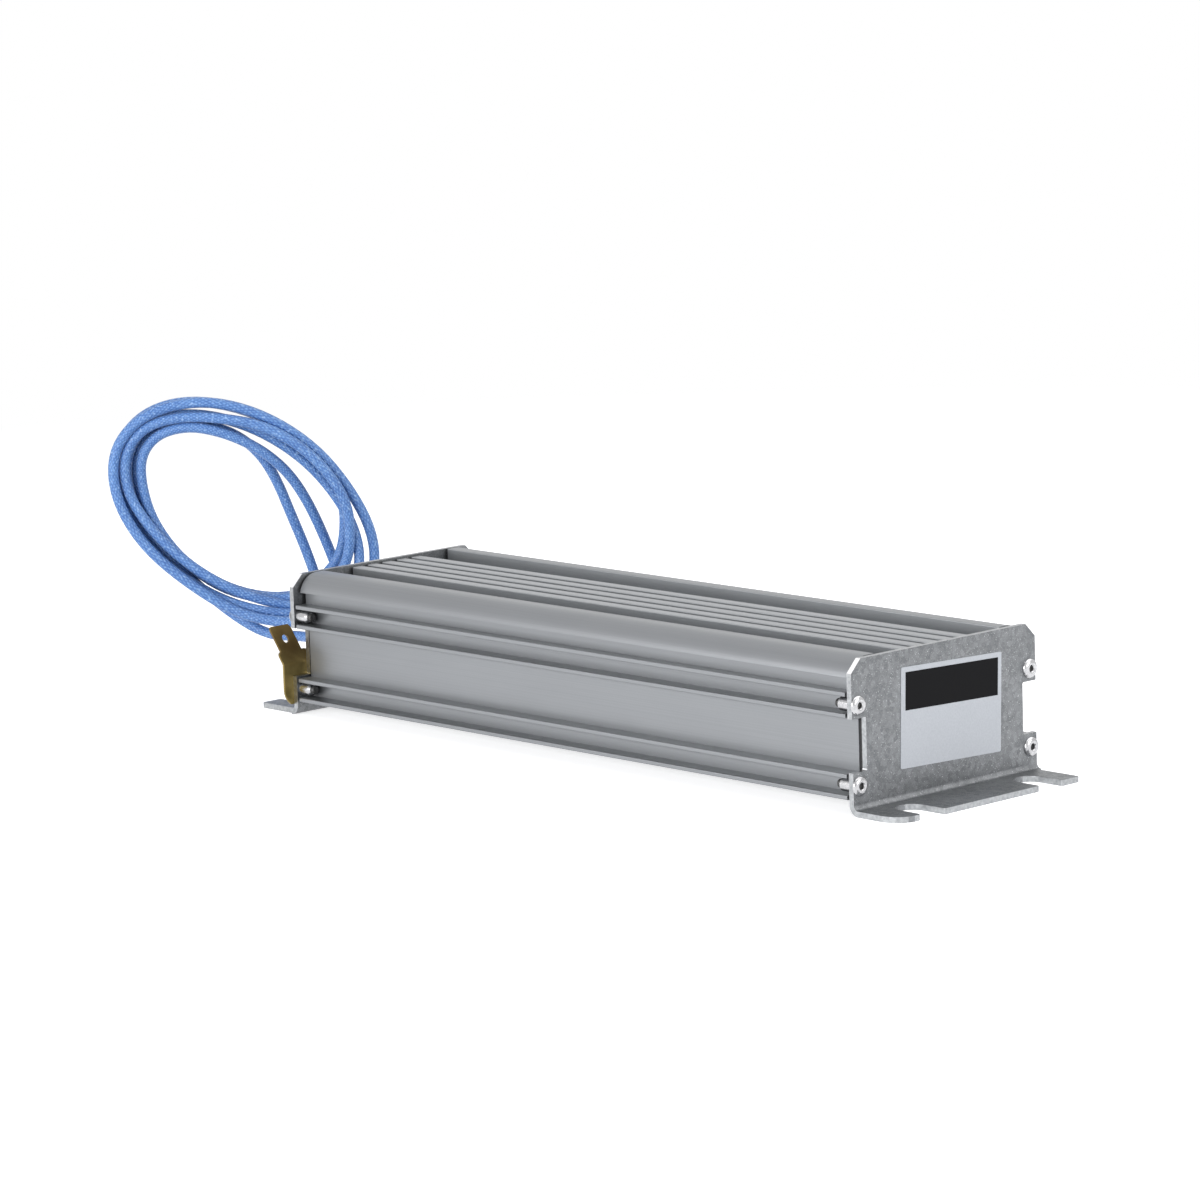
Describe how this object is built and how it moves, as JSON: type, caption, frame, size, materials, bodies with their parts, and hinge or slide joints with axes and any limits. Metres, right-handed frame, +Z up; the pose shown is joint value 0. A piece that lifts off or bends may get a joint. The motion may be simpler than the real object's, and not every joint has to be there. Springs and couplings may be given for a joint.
{
  "type": "braking resistor",
  "caption": "Aluminium-housed braking resistor with bent galvanised end plates, an earth tab and two coiled blue glass-braided leads.",
  "frame": {"origin": "on the mounting surface, midway between the two end plates and between the two long sides", "axes": "+X along the housing to the labelled end plate, +Z up off the mounting surface"},
  "size_m": [0.4298, 0.0985, 0.1048],
  "materials": {
    "extruded_aluminium": "satin",
    "galvanised_steel": "spangled",
    "mandrel_steel": "dull",
    "rivet_aluminium": "bright",
    "black_gasket": "matt",
    "mica": "satin",
    "label_foil": "silver-white with a plain black band",
    "brass": "dull",
    "grey_silicone": "matt",
    "resistance_alloy": "satin",
    "quartz_sand": "granular",
    "tinned_copper": "tinned",
    "blue_braid": "woven glass braid"
  },
  "bodies": {
    "root": {"earth_terminal": "brass", "front_end_board": "mica", "front_end_plate": "galvanised_steel", "front_gasket": "black_gasket", "housing": "extruded_aluminium", "label": "label_foil", "lead_a_barrel": "tinned_copper", "lead_a_ferrule": "tinned_copper", "lead_a_inner": "blue_braid", "lead_a_run": "blue_braid", "lead_a_tail": "blue_braid", "lead_a_tip": "tinned_copper", "lead_b_barrel": "tinned_copper", "lead_b_ferrule": "tinned_copper", "lead_b_inner": "blue_braid", "lead_b_run": "blue_braid", "lead_b_tail": "blue_braid", "lead_b_tip": "tinned_copper", "lead_bush": "grey_silicone", "lead_coil": "blue_braid", "lower_mica_sheet": "mica", "mica_former": "mica", "rear_end_board": "mica", "rear_end_plate": "galvanised_steel", "rear_gasket": "black_gasket", "resistance_ribbon": "resistance_alloy", "rivet_front_lower_left": "rivet_aluminium", "rivet_front_lower_right": "rivet_aluminium", "rivet_front_upper_left": "rivet_aluminium", "rivet_front_upper_right": "rivet_aluminium", "rivet_mandrels": "mandrel_steel", "rivet_rear_lower_left": "rivet_aluminium", "rivet_rear_lower_right": "rivet_aluminium", "rivet_rear_upper_left": "rivet_aluminium", "rivet_rear_upper_right": "rivet_aluminium", "sand_fill": "quartz_sand", "upper_mica_sheet": "mica"}
  },
  "joints": []
}
